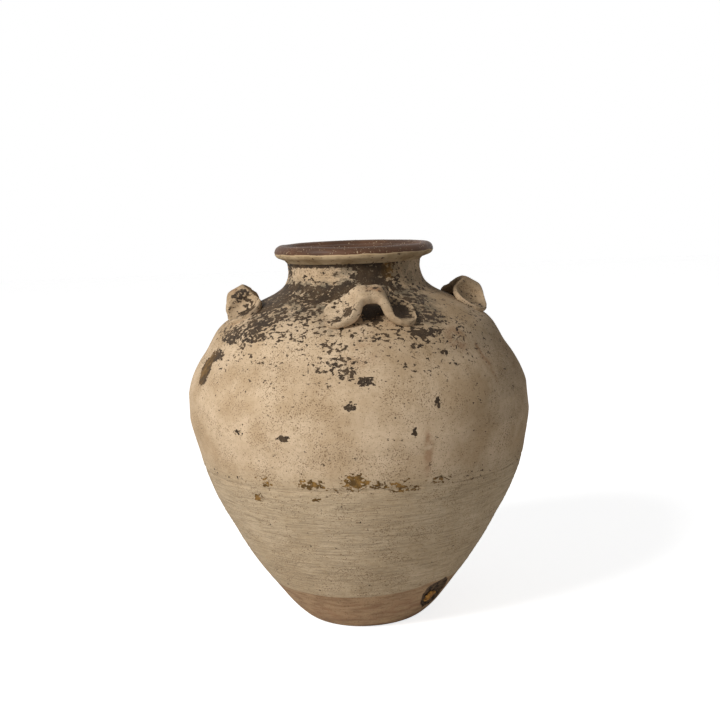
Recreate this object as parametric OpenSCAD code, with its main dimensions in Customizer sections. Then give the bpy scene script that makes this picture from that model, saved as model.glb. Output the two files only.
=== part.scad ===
// Martaban storage jar. A stoneware body built from thrown sections that are
// luted together, with a rolled rim and four strap lugs on the shoulder.
// The origin is the middle of the underside of the base, and +Z is the jar's axis.
// The front lug stands a little to the right of -Y.

/* [Body] */
// Height from the floor to the crest of the rim
jar_h = 400; // [388:1:412]
// Diameter of the belly where it is widest
belly_d = 362; // [350:1:374]
// Thickness of the thrown wall
wall_t = 9; // [8:0.5:10]
// Thickness of the base slab
base_t = 12; // [11:0.5:13]

/* [Joints] */
// Thickness of the layer of slip that lutes two sections together
luting_t = 2; // [1:0.25:3]
// How far the reinforcing coil inside a joint stands off the wall
coil_rise = 5; // [3:0.5:7]
// Half of the height of wall that a reinforcing coil covers
coil_reach = 13; // [10:1:16]

/* [Mouth] */
// Diameter of the straight throat, which takes a stopper
throat_d = 116; // [110:1:118]
// Outside diameter of the rolled rim
rim_d = 168; // [164:1:172]
// Thickness of the roll of the rim
roll_d = 14; // [12:0.5:15]

/* [Lugs] */
// Direction of the front lug, turned from -Y towards +X
lug_azimuth = 7; // [0:1:15]
// Length of a lug along the shoulder, from the end of one pad to the other
lug_l = 94; // [84:1:100]
// Width of a pad where it is pressed on to the shoulder
lug_w = 40; // [36:1:44]
// Height of the top of the strap above the shoulder
lug_h = 28; // [26:0.5:30]
// Width of the strap across the top of the lug
strap_w = 16; // [14:1:18]
// Width of the eye, where the lashing cord goes through
eye_w = 18; // [14:1:20]
// Height of the eye above the shoulder
eye_h = 16; // [13:0.5:18]
// Thickness of a pad at the bottom of the thumb mark
pad_t = 3.5; // [2.5:0.5:5]

/* [Chip] */
// Direction of the chip in the foot, turned from -Y towards +X
chip_azimuth = 49; // [44:1:56]
// Depth of the chip
chip_depth = 5; // [4:0.5:6]
// Diameter of the lump of ochre filler in the chip
filler_d = 22; // [16:1:22]

/* [Hidden] */

slip_cream = "#c8b294";
foot_brown = "#94795c";
rim_brown = "#5f4432";
clay_grey = "#8d7660";
ochre = "#bd8b42";

$fn = 96;
ball_fn = 240;
profile_step = 6;

// The silhouette at its drawn size, as [height, radius], bottom to top.
// The body turns a soft corner at the belly seam, so it has two curves.
drawn_h = 400;
drawn_d = 362;
kz = jar_h / drawn_h;
kr = belly_d / drawn_d;
lower_drawn = [
    [0, 63], [5, 69.5], [12, 77], [22, 85.5], [40, 99], [60, 113.5],
    [85, 129.5], [110, 143], [135, 156], [155, 164.5], [172, 170]
];
upper_drawn = [
    [172, 170], [188, 173.7], [204, 177.3], [220, 180.2], [235, 181], [250, 179], [265, 174.2],
    [280, 166.5], [293, 157.6], [305, 151], [313, 146], [320, 139], [330, 123.6],
    [340, 103.5], [348, 86.6], [355, 76.6], [362, 72], [370, 69.8], [376, 69.8], [382, 71.2]
];
lower_outline = [for (p = lower_drawn) [p[0] * kz, p[1] * kr]];
upper_outline = [for (p = upper_drawn) [p[0] * kz, p[1] * kr]];

// Heights of the joints, measured on the outside of the wall
base_top = 12 * kz;
belly_seam = 172 * kz;
shoulder_seam = 305 * kz;
neck_seam = 355 * kz;
collar_top = 381 * kz;
half_luting = luting_t / 2;

throat_r = throat_d / 2;
throat_bottom = 352 * kz;
roll_r = roll_d / 2;
roll_centre = [rim_d / 2 - roll_r, jar_h - roll_r];
roll_from = -70;
roll_to = 150;
roll_steps = 22;
rim_lip = 1;
flare_in = 10;
flare_up = 3.5;
flare_point = [rim_d / 2 - flare_in, collar_top + flare_up];

// A reinforcing coil is smeared out to this thickness at its edges
coil_edge_t = 1;

// A lug stands square to the shoulder, at the middle of its slope
lug_z = 334 * kz;
lug_tilt = 29.7;
lug_sink = 14;
lug_spare = 1;
pad_curve_r = 230;
pad_rim = 3;
tip_r = 3.5;
leg_t = 8;
waist_half = 12;
waist_points = 8;
end_arc_to = 6;
end_arc_steps = 10;
end_skirt = 1;
end_bend_out = 6;
end_bend_up = 0.6;
end_bend = [strap_w / 2 + end_bend_out, end_bend_up * lug_h];
end_edge_turn = 20;
eye_corner_r = 5;
strap_round_r = 8;
strap_edge_r = 3;
edge_steps = 5;
strap_steps = 6;
strap_centre = [eye_w / 2 + leg_t - strap_round_r, lug_h - strap_round_r];
tip_centre = [lug_l / 2 - tip_r, pad_top(lug_l / 2) + pad_rim - tip_r];
flank = tip_centre - strap_centre;
flank_turn = acos((strap_round_r - tip_r) / norm(flank)) + atan2(flank[1], flank[0]);
thumb_r = 19.5;
thumb_y = -2;
thumb_in = 11;
thumb_x = lug_l / 2 - thumb_in;

// The chip is two round scoops, [height, radius, turn from the chip's direction, depth]
chip_low = [33 * kz, 40, -1, chip_depth];
chip_high_less = 1.5;
chip_high = [44 * kz, 18, 1, chip_depth - chip_high_less];
filler_below = 1;
filler_half = filler_d / 2;
filler_rise = chip_depth - filler_below - filler_half * filler_half / (2 * chip_low[1]);
filler_r = filler_half * filler_half / (2 * filler_rise);

// Smooth curve through knots [x, y], with x rising
function knot_slope(k, i) =
    let (a = max(i - 1, 0), b = min(i + 1, len(k) - 1)) (k[b][1] - k[a][1]) / (k[b][0] - k[a][0]);
function knot_before(k, x, i = 0) = i < len(k) - 2 && x > k[i + 1][0] ? knot_before(k, x, i + 1) : i;
function curve(k, x) =
    let (i = knot_before(k, x), h = k[i + 1][0] - k[i][0], t = (x - k[i][0]) / h)
    (2 * t ^ 3 - 3 * t ^ 2 + 1) * k[i][1] + (t ^ 3 - 2 * t ^ 2 + t) * h * knot_slope(k, i)
    + (3 * t ^ 2 - 2 * t ^ 3) * k[i + 1][1] + (t ^ 3 - t ^ 2) * h * knot_slope(k, i + 1);
function curve_slope(k, x) =
    let (i = knot_before(k, x), h = k[i + 1][0] - k[i][0], t = (x - k[i][0]) / h)
    (6 * t ^ 2 - 6 * t) * (k[i][1] - k[i + 1][1]) / h
    + (3 * t ^ 2 - 4 * t + 1) * knot_slope(k, i) + (3 * t ^ 2 - 2 * t) * knot_slope(k, i + 1);

// A point of the body: height z on the outline, moved square to it by depth into the wall
function body_point(z, depth) =
    let (k = z <= belly_seam ? lower_outline : upper_outline, s = curve_slope(k, z), n = sqrt(1 + s * s))
    [curve(k, z) - depth / n, z + depth * s / n];

// Heights where the wall has a corner: every joint face, and even steps between them.
// Sections that meet share these corners, so that they fit face to face.
wall_breaks = [
    0, base_top, belly_seam - half_luting, belly_seam, belly_seam + half_luting,
    shoulder_seam - half_luting, shoulder_seam + half_luting,
    neck_seam - half_luting, neck_seam + half_luting, collar_top
];
wall_grid = concat(
    [for (i = [1:len(wall_breaks) - 1])
        let (a = wall_breaks[i - 1], b = wall_breaks[i], n = ceil((b - a) / profile_step))
            for (j = [0:n - 1]) a + (b - a) * j / n],
    [collar_top]
);
outer_r_table = [for (z = wall_grid) [z, body_point(z, 0)[0]]];
inner_r_table = [for (z = wall_grid) [z, body_point(z, wall_t)[0]]];
inner_z_table = [for (z = wall_grid) [z, body_point(z, wall_t)[1]]];
function outer(z) = [lookup(z, outer_r_table), z];
function inner(z) = [lookup(z, inner_r_table), lookup(z, inner_z_table)];
function heights(z0, z1) = concat([z0], [for (z = wall_grid) if (z > z0 && z < z1) z], [z1]);

// The outline height whose inner point lies on top of the base slab
floor_edge = lookup(base_t, [for (p = inner_z_table) [p[1], p[0]]]);

function reversed(list) = [for (i = [len(list) - 1:-1:0]) list[i]];
function mirrored(half) = concat(half, [for (p = reversed(half)) [-p[0], p[1]]]);
function arc(c, r, a0, a1, n) = [for (i = [0:n]) let (a = a0 + (a1 - a0) * i / n) c + r * [cos(a), sin(a)]];

// A ring of the body wall between two heights, its ends square to the wall
module wall_ring(z0, z1) {
    rotate_extrude()
        polygon(concat(
            [for (z = heights(z0, z1)) outer(z)],
            [for (z = reversed(heights(z0, z1))) inner(z)]
        ));
}

// A coil of clay smeared along the inside of a joint, thickest in the middle
module joint_coil(z0, z1) {
    rotate_extrude()
        polygon(concat(
            [for (z = heights(z0, z1)) inner(z)],
            [for (z = reversed(heights(z0, z1)))
                let (rise = coil_edge_t + (coil_rise - coil_edge_t) * sin(180 * (z - z0) / (z1 - z0)))
                    body_point(z, wall_t + rise)]
        ));
}

// Everything inside the outer surface of the shoulder
module shoulder_core() {
    z0 = shoulder_seam - half_luting;
    z1 = neck_seam + half_luting;
    rotate_extrude()
        polygon(concat([[0, z0]], [for (z = heights(z0, z1)) outer(z)], [[0, z1]]));
}

module base_disc() {
    color(foot_brown)
        rotate_extrude()
            polygon(concat(
                [[0, 0]],
                [for (z = heights(0, base_top)) outer(z)],
                [for (z = reversed(heights(floor_edge, base_top))) inner(z)],
                [[0, base_t]]
            ));
}

// The coil in the corner of the floor has a broad foot on the slab
module base_coil() {
    coil_top = base_top + coil_reach;
    coil_foot = inner(floor_edge) - [2 * coil_rise, 0];
    color(clay_grey)
        rotate_extrude()
            polygon(concat(
                [coil_foot],
                [for (z = heights(floor_edge, coil_top)) inner(z)],
                [body_point(coil_top, wall_t + coil_edge_t), body_point(base_top, wall_t + coil_rise)]
            ));
}

// A ball sunk into the wall from outside by the depth of the scoop
module chip_scoop(scoop) {
    centre = body_point(scoop[0], scoop[3] - scoop[1]);
    rotate([0, 0, chip_azimuth + scoop[2]])
        translate([0, -centre[0], centre[1]])
            sphere(r = scoop[1], $fn = ball_fn);
}

module lower_wall() {
    color(slip_cream)
        difference() {
            wall_ring(base_top, belly_seam - half_luting);
            chip_scoop(chip_low);
            chip_scoop(chip_high);
        }
}

// The lump of filler lies on the floor of the lower scoop, just below the wall's surface
module chip_filler() {
    centre = body_point(chip_low[0], filler_below + filler_r);
    color(ochre)
        intersection() {
            chip_scoop(chip_low);
            rotate([0, 0, chip_azimuth + chip_low[2]])
                translate([0, -centre[0], centre[1]])
                    sphere(r = filler_r, $fn = ball_fn);
        }
}

module belly_luting() {
    color(foot_brown)
        wall_ring(belly_seam - half_luting, belly_seam + half_luting);
}

module belly_coil() {
    color(clay_grey)
        joint_coil(belly_seam - coil_reach, belly_seam + coil_reach);
}

module upper_wall() {
    color(slip_cream)
        wall_ring(belly_seam + half_luting, shoulder_seam - half_luting);
}

module shoulder_luting() {
    color(foot_brown)
        wall_ring(shoulder_seam - half_luting, shoulder_seam + half_luting);
}

module shoulder_coil() {
    color(clay_grey)
        joint_coil(shoulder_seam - coil_reach, shoulder_seam + coil_reach / 2);
}

module shoulder_wall() {
    color(slip_cream)
        wall_ring(shoulder_seam + half_luting, neck_seam - half_luting);
}

module neck_luting() {
    color(foot_brown)
        wall_ring(neck_seam - half_luting, neck_seam + half_luting);
}

// The collar is thick at its foot, where its straight throat hangs below the joint
module neck_collar() {
    z0 = neck_seam + half_luting;
    color(slip_cream)
        rotate_extrude()
            polygon(concat(
                [for (z = heights(z0, collar_top)) outer(z)],
                [[throat_r, collar_top], [throat_r, throat_bottom], inner(z0)]
            ));
}

module rim_roll() {
    color(rim_brown)
        rotate_extrude()
            polygon(concat(
                [[throat_r, collar_top], outer(collar_top) + [rim_lip, 0], flare_point],
                arc(roll_centre, roll_r, roll_from, roll_to, roll_steps)
            ));
}

// Height of the floor of a pad above the lug's own plane, which touches the shoulder
// at the middle of the lug, so that the pad follows the round of the shoulder
function pad_top(x) = pad_t - x * x / (2 * pad_curve_r);

// The lug seen up the slope of the shoulder, one half of its outline
function lug_side_half() = concat(
    [[lug_l / 2, -lug_sink]],
    arc(tip_centre, tip_r, 0, flank_turn, edge_steps),
    arc(strap_centre, strap_round_r, flank_turn, 90, strap_steps)
);

// The lug seen from above, one quarter of its outline, waist to tip
function lug_plan_quarter() =
    let (end_r = lug_w / 2, end_x = lug_l / 2 - end_r)
    concat(
        [for (i = [0:waist_points - 1])
            let (t = i / waist_points, widening = 3 * t ^ 2 - 2 * t ^ 3)
                [end_x * t, waist_half + (end_r - waist_half) * widening]],
        arc([end_x, 0], end_r, 90, end_arc_to, end_arc_steps)
    );
function lug_plan_half() =
    let (q = lug_plan_quarter()) concat(q, [for (p = reversed(q)) if (p[0] > 0) [p[0], -p[1]]]);
function lug_plan() = concat(
    lug_plan_half(),
    [[0, -waist_half]],
    [for (p = reversed(lug_plan_half())) if (p[0] > 0) [-p[0], p[1]]]
);

// The lug seen end on, one half of its outline
function lug_end_half() = concat(
    [[lug_w / 2 + end_skirt, -lug_sink], [lug_w / 2 + end_skirt, end_skirt], end_bend],
    arc([strap_w / 2 - strap_edge_r, lug_h - strap_edge_r], strap_edge_r, end_edge_turn, 90, edge_steps)
);

// Extrusions along the lug's own y and x axes, centred on it
module along_y(length) {
    rotate([90, 0, 0]) translate([0, 0, -length / 2]) linear_extrude(length) children();
}
module along_x(length) {
    rotate([90, 0, 90]) translate([0, 0, -length / 2]) linear_extrude(length) children();
}

// The opening between the two legs, with round top corners, open at the shoulder
module lug_eye() {
    along_y(lug_w * 2) {
        translate([-eye_w / 2, -lug_sink * 2]) square([eye_w, lug_sink * 2 + eye_h - eye_corner_r]);
        translate([-eye_w / 2 + eye_corner_r, 0]) square([eye_w - 2 * eye_corner_r, eye_h]);
        for (side = [-1, 1])
            translate([side * (eye_w / 2 - eye_corner_r), eye_h - eye_corner_r]) circle(r = eye_corner_r);
    }
}

// The mark of a thumb, which hollows a flank of the strap down to the pad
module thumb_mark(side) {
    translate([side * thumb_x, thumb_y, pad_top(thumb_x) + thumb_r])
        rotate([90, 0, 0])
            sphere(r = thumb_r);
}

module lug(turn) {
    color(slip_cream)
        difference() {
            rotate([0, 0, lug_azimuth + turn])
                translate([0, -body_point(lug_z, 0)[0], lug_z])
                    rotate([lug_tilt, 0, 0])
                        difference() {
                            intersection() {
                                along_y(lug_w * 2) polygon(mirrored(lug_side_half()));
                                translate([0, 0, -lug_sink])
                                    linear_extrude(lug_sink + lug_h + lug_spare)
                                        polygon(lug_plan());
                                along_x(lug_l + lug_spare) polygon(mirrored(lug_end_half()));
                            }
                            lug_eye();
                            for (side = [-1, 1]) thumb_mark(side);
                        }
            shoulder_core();
        }
}

module lug_front() { lug(0); }
module lug_right() { lug(90); }
module lug_back() { lug(180); }
module lug_left() { lug(270); }

base_disc();
base_coil();
lower_wall();
belly_luting();
belly_coil();
upper_wall();
shoulder_luting();
shoulder_coil();
shoulder_wall();
neck_luting();
neck_collar();
rim_roll();
lug_front();
lug_right();
lug_back();
lug_left();
chip_filler();
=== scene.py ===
import math

import bpy
import numpy as np
from mathutils import Matrix, Vector


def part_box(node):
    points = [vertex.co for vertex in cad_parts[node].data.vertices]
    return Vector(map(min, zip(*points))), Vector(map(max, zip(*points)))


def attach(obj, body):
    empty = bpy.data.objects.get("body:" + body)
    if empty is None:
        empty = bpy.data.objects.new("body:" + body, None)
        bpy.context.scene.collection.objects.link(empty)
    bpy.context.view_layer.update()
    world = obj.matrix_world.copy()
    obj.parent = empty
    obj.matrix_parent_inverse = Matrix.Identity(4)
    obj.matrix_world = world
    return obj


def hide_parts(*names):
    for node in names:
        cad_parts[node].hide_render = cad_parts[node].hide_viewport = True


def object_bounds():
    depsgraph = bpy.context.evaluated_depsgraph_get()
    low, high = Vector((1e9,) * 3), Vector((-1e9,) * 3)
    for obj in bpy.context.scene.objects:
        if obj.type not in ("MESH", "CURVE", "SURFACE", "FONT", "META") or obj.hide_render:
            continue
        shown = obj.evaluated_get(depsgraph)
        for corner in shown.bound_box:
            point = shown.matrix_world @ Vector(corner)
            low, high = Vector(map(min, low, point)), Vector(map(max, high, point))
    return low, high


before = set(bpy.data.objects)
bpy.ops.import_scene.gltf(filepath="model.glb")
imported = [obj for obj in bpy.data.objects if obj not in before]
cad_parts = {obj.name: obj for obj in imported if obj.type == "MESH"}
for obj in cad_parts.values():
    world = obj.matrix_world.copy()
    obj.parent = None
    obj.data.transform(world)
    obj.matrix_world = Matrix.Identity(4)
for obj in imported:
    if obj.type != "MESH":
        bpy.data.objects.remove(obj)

bl_info = {
    "name": "Martaban storage jar",
    "version": (1, 0, 0),
    "blender": (4, 5, 0),
    "location": "3D View > Sidebar > Jar",
    "description": "Builds a slipped stoneware storage jar, piece by piece, round its CAD frame",
    "category": "Add Mesh",
}

MM = 0.001
CAD_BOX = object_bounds()


def half_width(node):
    """Half of a CAD node's width along X, in mm."""
    low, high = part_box(node)
    return (high.x - low.x) / 2 / MM


BELLY_R = half_width("upper_wall")
RIM_R = half_width("rim_roll")
JAR_H = CAD_BOX[1].z / MM
# Room left between a piece and the CAD box, in mm
BOX_GAP = 0.05

# The outside of the jar as [height, radius] in mm, bottom to top
OUTLINE = [
    [0, 63], [5, 69.5], [12, 77], [22, 85.5], [40, 99], [60, 113.5], [85, 129.5], [110, 143],
    [135, 156], [155, 164.5], [172, 170], [188, 173.7], [204, 177.3], [220, 180.2], [235, 181],
    [250, 179], [265, 174.2], [280, 166.5], [293, 157.6], [305, 151], [313, 146], [320, 139],
    [330, 123.6], [340, 103.5], [348, 86.6], [355, 76.6], [362, 72], [370, 69.8], [376, 69.8],
    [382, 71.2], [388, 76],
]
# How far the real pot leans off its own axis towards +X, as [height, shift] in mm
LEAN = [
    [0, -0.8], [50, -0.2], [110, 0.8], [160, 1.75], [185, 1.3], [215, 0], [245, -1.3],
    [285, -2.2], [312, -1.7], [345, -0.4], [365, -0.25], [375, -0.7], [400, -0.7],
]
WALL_T = 9.0
BASE_T = 12.0
BELLY_SEAM = 172.0
SHOULDER_SEAM = 305.0
NECK_SEAM = 355.0
COLLAR_TOP = 381.0
HALF_LUTING = 1.0
# Bottom and top of the slip in each joint, as heights in mm
BELLY_JOINT = (BELLY_SEAM - HALF_LUTING, BELLY_SEAM + HALF_LUTING)
SHOULDER_JOINT = (SHOULDER_SEAM - HALF_LUTING, SHOULDER_SEAM + HALF_LUTING)
NECK_JOINT = (NECK_SEAM - HALF_LUTING, NECK_SEAM + HALF_LUTING)
THROAT_R = 58.0
THROAT_BOTTOM = 352.0

# Height of a row of faces in mm, where the row_pitch setting doesn't give it
INSIDE_ROW = 6.0
LUTING_ROW = 0.7
SHOULDER_ROW = 0.8
SHOULDER_INSIDE_ROW = 2.5
FOOT_ROW = 1.0
COLLAR_ROW = 1.0
THROAT_ROW = 3
FLOOR_ROW = 3
# How finely the height is sought at which the floor meets the wall's inner skin, in mm
FLOOR_SEARCH = 0.05
# Rings of the underside and of the floor inside, as radii in mm
UNDERSIDE_RINGS = (20.0, 40.0, 56.0, 60.5)
FLOOR_RING = 30.0
# How far the foot's lower edge is rounded, in mm
FOOT_ROUNDING = 1.2

# Marks on the outside of the wall, as heights, depths and pitches in mm, and phases in radians
COMBED_FROM = 50
COMBED_TO = 174
COMB_DEPTH = 0.16
COMB_PITCH = 4.6
FINE_COMB_DEPTH = 0.09
FINE_COMB_PITCH = 2.9
FINE_COMB_PHASE = 1.3
SEAM_SWAY = 1.2
SEAM_PHASE = 0.6
LEDGE_HEIGHT = 0.25
LEDGE_TOP = 200
BELLY_LINE = 204
BELLY_LINE_SWAY = 0.7
COLLAR_LINE = 379.8
SLIP_T = 0.3
SLIP_STEP = 1.2

# Where the body slip stops above the foot, as [azimuth in degrees, height in mm]
SLIP_EDGE = [[-180, 47], [-60, 46], [0, 46], [31, 50.6], [38, 54], [70, 50], [180, 47]]

# Outline of the chip in the foot, as [azimuth, height]
CHIP = [
    [51, 52], [46, 51.7], [43, 50.4], [39, 48.5], [36.7, 45.3], [37, 36.3], [41.6, 22.1],
    [47.4, 16.2], [55, 15.5], [60, 20], [61, 33], [58, 45],
]
# The chip lies between these azimuths and under this height
CHIP_SIDES = (25, 75)
CHIP_TOP = 60
FAR_FROM_CHIP = -9.0
CHIP_DEPTH = 5.0
CHIP_ROUNDING = 2.6
# Clay that the chip leaves in the wall, in mm
LEAST_WALL = 2.5


def smooth(knots, x):
    """Value at x of a smooth curve through knots [x, y]."""
    k = np.asarray(knots, float)
    kx, ky = k[:, 0], k[:, 1]
    slope = np.gradient(ky, kx)
    slope[1:-1] = (ky[2:] - ky[:-2]) / (kx[2:] - kx[:-2])
    x = np.clip(x, kx[0], kx[-1])
    i = np.clip(np.searchsorted(kx, x, side="right") - 1, 0, len(kx) - 2)
    h = kx[i + 1] - kx[i]
    t = (x - kx[i]) / h
    a = (2 * t**3 - 3 * t**2 + 1) * ky[i] + (t**3 - 2 * t**2 + t) * h * slope[i]
    b = (3 * t**2 - 2 * t**3) * ky[i + 1] + (t**3 - t**2) * h * slope[i + 1]
    return a + b


def outer_point(z, depth):
    """The point of the outline at height z, moved square to it into the wall, as (radius, height)."""
    s = smooth(OUTLINE, z + 0.5) - smooth(OUTLINE, z - 0.5)
    n = np.sqrt(1 + s * s)
    return smooth(OUTLINE, z) - depth / n, z + depth * s / n


def radius(z):
    """The outline's radius at one height, in mm."""
    return float(smooth(OUTLINE, np.array([z]))[0])


def inner_point(z):
    """The inner skin across from height z of the outline, as a point of a section."""
    r, h = outer_point(np.array([z]), WALL_T)
    return float(r[0]), float(h[0]), False


def read(table, x):
    """Value at x on straight lines through the table's [x, y]."""
    return np.interp(x, *np.array(table).T)


def rises(x, start, over):
    return np.clip((x - start) / over, 0, 1)


def falls(x, end, over):
    return np.clip((end - x) / over, 0, 1)


def ridge(d, height, width):
    """A rounded ridge of this height and half width, d away from its crest."""
    return height * np.exp(-((d / width) ** 2))


# A lattice of random values read with smooth steps, for wobble in the clay
NOISE_SIZE = 64
LATTICE = np.random.default_rng(11).uniform(-1, 1, (NOISE_SIZE, NOISE_SIZE, NOISE_SIZE))
# Where the jar's axis stands in the lattice, between its planes
NOISE_SHIFT = 31.7


def noise(p, scale):
    """Smooth noise from -1 to 1 at points p in mm, with lumps about scale mm wide."""
    q = np.asarray(p, float) / scale + NOISE_SHIFT
    i = np.floor(q).astype(int)
    f = q - i
    f = f * f * (3 - 2 * f)
    out = np.zeros(len(q))
    for corner in range(8):
        d = np.array([corner & 1, corner >> 1 & 1, corner >> 2 & 1])
        j = (i + d) % NOISE_SIZE
        w = np.prod(np.where(d, f, 1 - f), axis=1)
        out += w * LATTICE[j[:, 0], j[:, 1], j[:, 2]]
    return out


def wobble(p, depth, width, flat=1.0):
    """Noise of this depth, with lumps about width mm across and flat times lower than wide."""
    return depth * noise(p * [1, 1, flat], width)


def inside(outline, az, z):
    """Signed distance in mm from a polygon [azimuth, height] on the foot, positive inside."""
    r = smooth(OUTLINE, z)
    x = np.radians(az) * r
    pts = [(math.radians(a) * radius(h), h) for a, h in outline]
    best = np.full(len(z), 1e9)
    odd = np.zeros(len(z), bool)
    for (x0, y0), (x1, y1) in zip(pts, pts[1:] + pts[:1]):
        dx, dy = x1 - x0, y1 - y0
        t = np.clip(((x - x0) * dx + (z - y0) * dy) / (dx * dx + dy * dy), 0, 1)
        best = np.minimum(best, np.hypot(x - x0 - t * dx, z - y0 - t * dy))
        if y0 != y1:
            odd ^= ((y0 > z) != (y1 > z)) & (x < x0 + (z - y0) * dx / dy)
    return np.where(odd, best, -best)


def from_chip_edge(p, az, z):
    """Distance in mm from the chip's ragged edge, positive inside it."""
    near = (z < CHIP_TOP) & (az > CHIP_SIDES[0]) & (az < CHIP_SIDES[1])
    d = np.full(len(z), FAR_FROM_CHIP)
    if near.any():
        d[near] = inside(CHIP, az[near], z[near])
    return d + wobble(p, depth=1.5, width=5)


def slip_edge(p, az):
    """Height in mm at which the slip stops, with its waver."""
    return read(SLIP_EDGE, az) + wobble(p, depth=0.8, width=14)


def surface(az, z, r):
    """How far the outside stands off the drawn outline, in mm: wobble, throwing lines and the chip."""
    a = np.radians(az)
    p = np.stack([r * np.sin(a), -r * np.cos(a), z], axis=1)
    out = wobble(p, depth=0.5, width=60) + wobble(p, depth=0.22, width=22, flat=2.2)

    # Comb lines on the lower wall, a coarse set and a fine one
    combed = rises(z, COMBED_FROM, over=12) * falls(z, COMBED_TO, over=8)
    coarse = COMB_DEPTH + wobble(p, depth=0.12, width=50, flat=3)
    turned = z + wobble(p, depth=1.2, width=120, flat=0.4)
    out += combed * coarse * np.sin(2 * math.pi * turned / COMB_PITCH)
    out += combed * FINE_COMB_DEPTH * np.sin(2 * math.pi * turned / FINE_COMB_PITCH + FINE_COMB_PHASE)

    # The belly seam with its ledge, and one turned line each on the belly and under the rim
    seam = BELLY_SEAM + SEAM_SWAY * np.sin(a + SEAM_PHASE) + wobble(p, depth=0.8, width=70)
    out -= ridge(z - seam, height=0.75, width=1.7)
    out += LEDGE_HEIGHT * rises(z, seam, over=3) * falls(z, LEDGE_TOP, over=20)
    out -= ridge(z - BELLY_LINE - BELLY_LINE_SWAY * np.sin(a), height=0.3, width=1.0)
    out -= ridge(z - COLLAR_LINE, height=0.25, width=0.9)
    out += SLIP_T * np.clip((z - slip_edge(p, az)) / SLIP_STEP + 0.5, 0, 1) - SLIP_T

    # Nothing stands proud at the widest place, which touches the CAD box
    out = np.where(out > 0, out * falls(r, BELLY_R + 1.0, over=2), out)

    d = from_chip_edge(p, az, z)
    rough = wobble(p, depth=0.9, width=4) + wobble(p, depth=0.6, width=2.2)
    bowl = CHIP_DEPTH * (1 - np.exp(-np.maximum(d, 0) / CHIP_ROUNDING)) + rough * rises(d, 0, over=3)
    return out - np.clip(bowl, 0, WALL_T - LEAST_WALL) * (d > 0)


# Places where the slip has come away, and the painted shade under the lugs, as [azimuth, height, half
# width, half height, wear]. Degrees, mm, mm, mm, and 0 for whole slip to 1 for bare glaze.
WEAR_AND_SHADE = [
    [14, 370, 17, 13, 0.95], [30, 362, 9, 12, 0.62], [5, 358, 22, 5, 0.85], [-38, 379.6, 55, 1.8, 0.9],
    [10, 379.6, 28, 1.8, 0.95], [-75, 374, 9, 8, 0.66], [-45, 357, 40, 3.2, 0.88],
    [-68, 350, 22, 6, 0.84], [-30, 350, 30, 6, 0.75], [-60, 341, 20, 7, 0.8],
    [-42, 334, 18, 5, 0.62], [-27, 336, 12, 6, 0.62], [-48, 327, 16, 5, 0.7],
    [-30, 325, 22, 6, 0.46], [-14, 330, 9, 9, 0.5], [-58, 318, 22, 6, 0.62],
    [-58, 311, 14, 3.5, 0.8], [-46, 321, 6, 3, 0.85], [-43.6, 314, 12, 3.5, 0.7],
    [-36, 313, 14, 5, 0.5], [-63, 295, 11, 5, 0.86], [-67, 283, 9, 8, 1.1], [-65, 274, 8.5, 8, 1.1],
    [32, 345, 22, 9, 0.6], [30, 330, 16, 6, 0.66], [38, 330, 9, 3, 0.68], [27.9, 316.4, 13, 3.2, 1.0],
    [8, 314, 24, 3, 0.46], [24, 307, 9, 4, 0.56], [-8.4, 308, 11, 3.5, 0.6],
    [-7.5, 292, 20, 7, 0.5], [-3.7, 284, 9, 5, 0.55], [2, 277, 8, 3.4, 0.92], [32.7, 296.6, 4, 2, 0.95],
    [-2.9, 254.6, 5.5, 2.4, 1.0], [24.4, 253.4, 2.4, 4.5, 0.95], [15.9, 228, 3, 3.5, 0.9],
    [-23.9, 225.2, 6, 2.4, 0.92], [-40.8, 226, 7, 4, 0.5], [-16.5, 179.8, 12, 4, 0.74],
    [-2.4, 183, 11, 7, 0.78], [-32.7, 179.4, 5, 6, 0.66], [-38.3, 161.5, 6, 4, 0.7],
    [-15.8, 164.3, 6, 2.5, 0.66], [14, 173, 14, 3, 0.66], [7, 178.5, 12, 3, 0.62],
    [25.6, 177.4, 10, 3.5, 0.64], [150, 350, 60, 12, 0.7], [-130, 345, 40, 10, 0.68],
    [110, 330, 40, 8, 0.55], [178, 318, 40, 8, 0.56], [-150, 300, 30, 10, 0.58],
    # Painted shade: the four patches at 339 mm lay dark bare glaze on the shoulder under each lug's arch,
    # partly wear and partly the shadow in its eye
    [140, 290, 14, 6, 0.8], [7.5, 339, 9, 10, 1.1], [97, 339, 9, 10, 1.0], [-83, 339, 9, 10, 1.0],
    [187, 339, 9, 10, 1.0], [165, 180, 20, 4, 0.72], [-120, 178, 16, 4, 0.7], [95, 181, 14, 5, 0.7],
]
# Grey film of smoke and half-worn slip on the shoulder, in the same terms
SMOKE = [
    [-60, 350, 45, 12, 0.9], [-25, 348, 30, 12, 0.9], [-50, 338, 30, 8, 0.6], [8, 352, 40, 7, 0.9],
    [32, 345, 28, 14, 0.85], [32, 331, 20, 8, 0.6], [-10, 330, 14, 10, 0.5], [8, 370, 30, 14, 0.7],
    [45, 366, 18, 16, 0.45], [150, 350, 80, 14, 0.8], [-120, 345, 50, 12, 0.7],
]
# Golden brown glaze shows in the bare places here, and charcoal elsewhere
AMBER = [
    [-67, 280, 9, 14, 0.55], [-16.5, 179.8, 20, 8, 1], [-2.4, 183, 20, 8, 1], [-35, 170, 20, 16, 1],
    [15, 175, 40, 8, 0.9], [30, 374, 6, 8, 0.8], [165, 180, 30, 8, 1], [-120, 178, 30, 8, 1],
    [-15.8, 164.3, 12, 5, 0.9], [60, 178, 30, 10, 0.8], [45, 60, 30, 12, 0.6],
]
RUST = [
    [41, 307, 10, 9, 0.5], [50, 290, 3, 10, 0.6], [51.5, 274, 2.5, 10, 0.6], [20.8, 212, 3.5, 20, 0.55],
    [0, 300, 14, 10, 0.2], [30, 28, 30, 8, 0.5], [-20, 20, 34, 7, 0.5], [5, 34, 26, 5, 0.4],
]
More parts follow.
